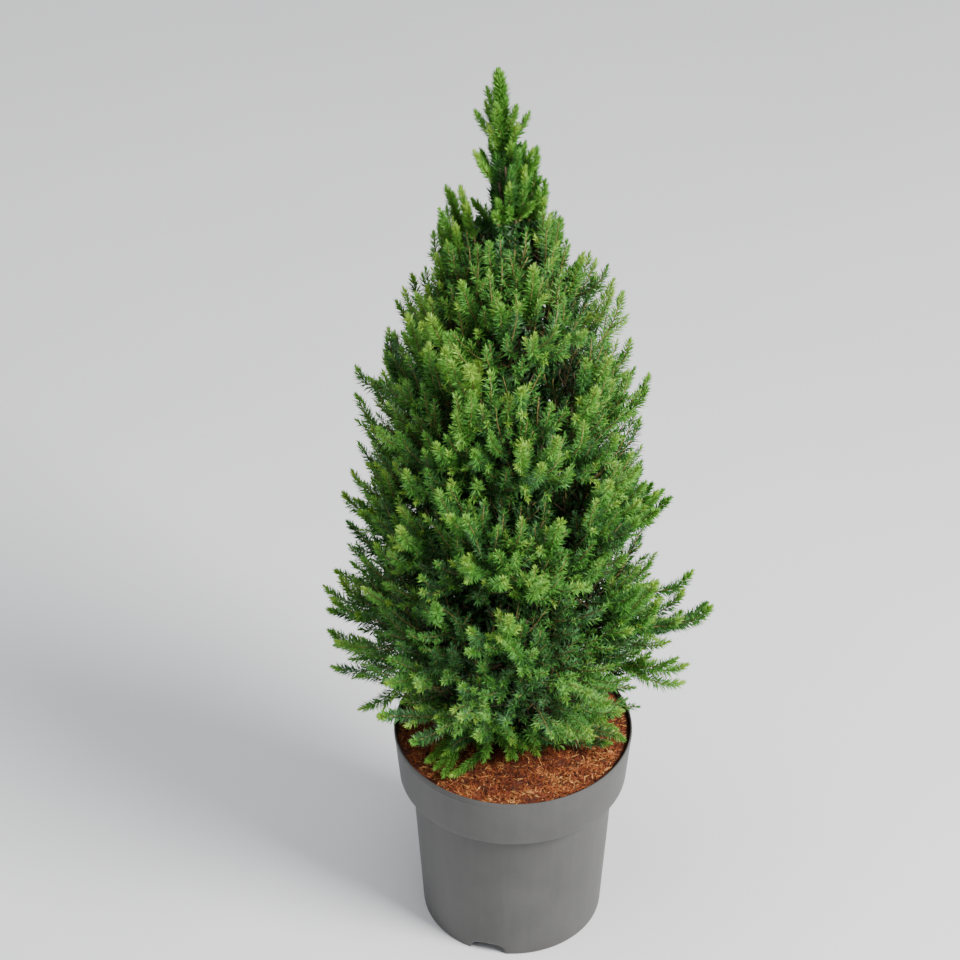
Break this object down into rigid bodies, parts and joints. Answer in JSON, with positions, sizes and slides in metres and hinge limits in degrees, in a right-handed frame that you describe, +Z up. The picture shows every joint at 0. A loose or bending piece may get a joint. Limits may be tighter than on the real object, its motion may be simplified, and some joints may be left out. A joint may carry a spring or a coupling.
{
  "type": "potted alberta spruce",
  "caption": "Dwarf alberta spruce with a dense cone of needle sprays on one trunk, in a round nursery pot filled with bark mulch.",
  "frame": {"origin": "centre of the flat underside of the pot, on the floor that it stands on", "axes": "+Z up along the pot's axis; the plant's front faces -Y, so +X is to its right as seen from the front"},
  "size_m": [0.391, 0.3473, 1.04],
  "materials": {
    "pot": "satin mid-grey moulded",
    "bark_mulch": "shredded reddish bark",
    "bark": "rough grey-brown bark",
    "needles": "green conifer needles"
  },
  "bodies": {
    "root": {"bark_mulch": "bark_mulch", "bough_lower_1": "bark", "bough_lower_2": "bark", "bough_lower_3": "bark", "bough_lower_4": "bark", "bough_lower_5": "bark", "bough_lower_6": "bark", "bough_middle_1": "bark", "bough_middle_2": "bark", "bough_middle_3": "bark", "bough_middle_4": "bark", "bough_middle_5": "bark", "bough_shoulder_1": "bark", "bough_shoulder_2": "bark", "bough_shoulder_3": "bark", "bough_shoulder_4": "bark", "bough_skirt_1": "bark", "bough_skirt_2": "bark", "bough_skirt_3": "bark", "bough_skirt_4": "bark", "bough_skirt_5": "bark", "bough_skirt_6": "bark", "bough_upper_1": "bark", "bough_upper_2": "bark", "bough_upper_3": "bark", "bough_upper_4": "bark", "bough_upper_5": "bark", "needles_leader": "needles", "needles_lower_1": "needles", "needles_lower_2": "needles", "needles_lower_3": "needles", "needles_lower_4": "needles", "needles_lower_5": "needles", "needles_lower_6": "needles", "needles_middle_1": "needles", "needles_middle_2": "needles", "needles_middle_3": "needles", "needles_middle_4": "needles", "needles_middle_5": "needles", "needles_shoulder_1": "needles", "needles_shoulder_2": "needles", "needles_shoulder_3": "needles", "needles_shoulder_4": "needles", "needles_skirt_1": "needles", "needles_skirt_2": "needles", "needles_skirt_3": "needles", "needles_skirt_4": "needles", "needles_skirt_5": "needles", "needles_skirt_6": "needles", "needles_spire_1": "needles", "needles_spire_2": "needles", "needles_spire_3": "needles", "needles_upper_1": "needles", "needles_upper_2": "needles", "needles_upper_3": "needles", "needles_upper_4": "needles", "needles_upper_5": "needles", "pot": "pot", "trunk": "bark"}
  },
  "joints": []
}
